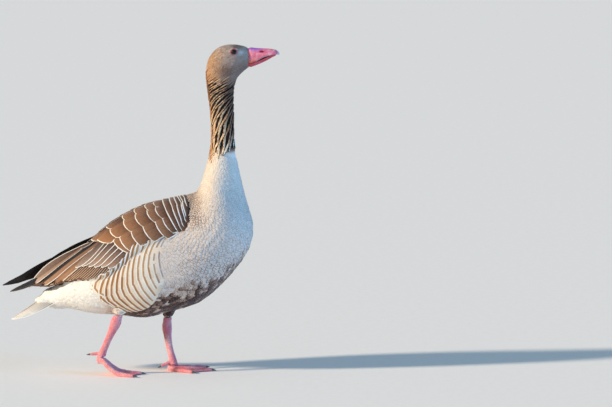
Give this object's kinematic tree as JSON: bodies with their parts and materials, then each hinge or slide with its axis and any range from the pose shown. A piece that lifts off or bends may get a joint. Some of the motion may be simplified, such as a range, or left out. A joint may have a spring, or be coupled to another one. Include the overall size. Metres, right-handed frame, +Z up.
{
  "type": "greylag goose",
  "caption": "Life-size still model of a standing greylag goose, head held high, wings folded, one foot forward and one back, for display.",
  "frame": {"origin": "on the floor, under the middle of the whole bird's box", "axes": "+X the way the bird faces, +Y its left side, +Z up"},
  "size_m": [0.5666, 0.1902, 0.6737],
  "materials": {
    "plumage_body": "soft overlapping feathers, pinkish buff grey with brown bars on the flank and white under the tail",
    "plumage_neck": "feathers drawn into dark furrows and buff ridges",
    "plumage_head": "very short, dense brown feathers",
    "wing_feathers": "brown feathers with cream edges",
    "flight_feathers": "blackish brown, slightly glossy vanes",
    "tail_feathers": "grey brown vanes with white edges and tips",
    "bill_skin": "smooth pink skin over the bill, satin",
    "nail_horn": "pale horn, satin",
    "eye": "wet, dark brown",
    "leg_skin": "pink skin with small scales, satin",
    "claw_horn": "dark horn, satin"
  },
  "bodies": {
    "root": {"rump": "plumage_body", "trunk": "plumage_body", "breast": "plumage_body", "thigh_left": "plumage_body", "thigh_right": "plumage_body", "neck_lower": "plumage_neck", "neck_upper": "plumage_neck", "head": "plumage_head", "wing_left": "wing_feathers", "wing_right": "wing_feathers", "primaries_left": "flight_feathers", "primaries_right": "flight_feathers", "tail": "tail_feathers", "bill_upper": "bill_skin", "bill_lower": "bill_skin", "bill_nail": "nail_horn", "eye_left": "eye", "eye_right": "eye", "shank_left": "leg_skin", "shank_right": "leg_skin", "foot_left": "leg_skin", "foot_right": "leg_skin", "hallux_left": "leg_skin", "hallux_right": "leg_skin", "claw_left_inner": "claw_horn", "claw_left_middle": "claw_horn", "claw_left_outer": "claw_horn", "claw_left_hind": "claw_horn", "claw_right_inner": "claw_horn", "claw_right_middle": "claw_horn", "claw_right_outer": "claw_horn", "claw_right_hind": "claw_horn"}
  },
  "joints": []
}
